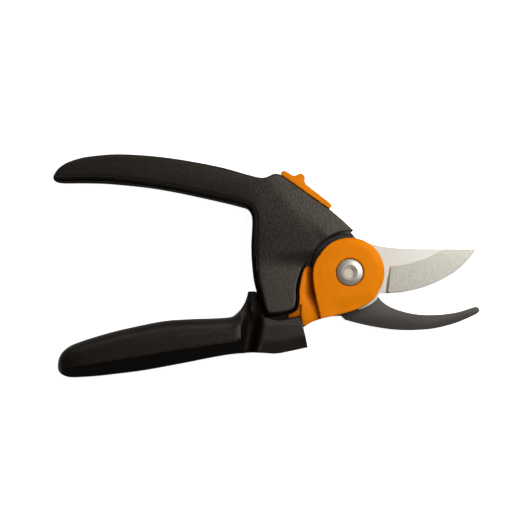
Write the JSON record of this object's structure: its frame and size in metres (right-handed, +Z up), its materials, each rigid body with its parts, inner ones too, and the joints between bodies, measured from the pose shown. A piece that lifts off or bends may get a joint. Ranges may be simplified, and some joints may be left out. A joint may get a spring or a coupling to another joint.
{
  "type": "bypass pruning shears",
  "caption": "Bypass pruning shears with two long handles, a round hub cover, a curved cutting blade, a hooked counter blade and a sliding lock; shown fully open.",
  "frame": {"origin": "centre of the bounding box in plan, on the plane the shears lie on", "axes": "+X toward the blade tips, +Y toward the upper handle, +Z up from the plane they lie on, toward the front face with the hub bolt"},
  "size_m": [0.2047, 0.107, 0.022],
  "materials": {
    "hook_blade": "dark low-friction coating",
    "lower_handle_core": "fine-grained black nylon",
    "lower_grip": "soft-touch black grip",
    "front_hub_cover": "satin orange plastic",
    "rear_hub_cover": "satin orange plastic",
    "pivot_bolt": "zinc-plated or plain steel",
    "pivot_nut": "zinc-plated or plain steel",
    "bolt_washer": "zinc-plated or plain steel",
    "pivot_bushing": "zinc-plated or plain steel",
    "thrust_washer": "zinc-plated or plain steel",
    "handle_pin": "zinc-plated or plain steel",
    "cover_screw": "zinc-plated or plain steel",
    "tang_pin_1": "zinc-plated or plain steel",
    "tang_pin_2": "zinc-plated or plain steel",
    "return_spring": "zinc-plated or plain steel",
    "handle_front_shell": "fine-grained black nylon",
    "handle_rear_shell": "fine-grained black nylon",
    "handle_gear": "zinc-plated or plain steel",
    "hub_spacer": "zinc-plated or plain steel",
    "shell_screw_1": "zinc-plated or plain steel",
    "shell_screw_2": "zinc-plated or plain steel",
    "shell_screw_3": "zinc-plated or plain steel",
    "shell_screw_4": "zinc-plated or plain steel",
    "cutting_blade": "ground steel",
    "lock_slider": "satin orange plastic",
    "lock_bar": "zinc-plated or plain steel"
  },
  "bodies": {
    "lower_frame": {"hook_blade": "hook_blade", "lower_handle_core": "lower_handle_core", "lower_grip": "lower_grip", "front_hub_cover": "front_hub_cover", "rear_hub_cover": "rear_hub_cover", "pivot_bolt": "pivot_bolt", "pivot_nut": "pivot_nut", "bolt_washer": "bolt_washer", "pivot_bushing": "pivot_bushing", "thrust_washer": "thrust_washer", "handle_pin": "handle_pin", "cover_screw": "cover_screw", "tang_pin_1": "tang_pin_1", "tang_pin_2": "tang_pin_2", "return_spring": "return_spring"},
    "upper_handle": {"handle_front_shell": "handle_front_shell", "handle_rear_shell": "handle_rear_shell", "handle_gear": "handle_gear", "hub_spacer": "hub_spacer", "shell_screw_1": "shell_screw_1", "shell_screw_2": "shell_screw_2", "shell_screw_3": "shell_screw_3", "shell_screw_4": "shell_screw_4"},
    "blade": {"cutting_blade": "cutting_blade"},
    "lock": {"lock_slider": "lock_slider", "lock_bar": "lock_bar"}
  },
  "joints": [
    {"name": "handle_hinge", "type": "hinge", "parent": "lower_frame", "child": "upper_handle", "pos_m": [0.00638, -0.01561, 0.011], "axis": [0, 0, 1], "range_deg": [0, 37.5], "stiffness_Nm_per_rad": 0.3, "springref_deg": -34.38, "deforming": ["return_spring"]},
    {"name": "blade_hinge", "type": "hinge", "parent": "lower_frame", "child": "blade", "pos_m": [0.0401, -0.003, 0.011], "axis": [0, 0, 1], "range_deg": [-30, 0]},
    {"name": "lock_slide", "type": "slide", "parent": "upper_handle", "child": "lock", "axis": [0.816, -0.578, 0], "range_m": [0, 0.006]}
  ],
  "couplings": [
    {"joint": "blade_hinge", "follows": "handle_hinge", "ratio": -0.8}
  ]
}
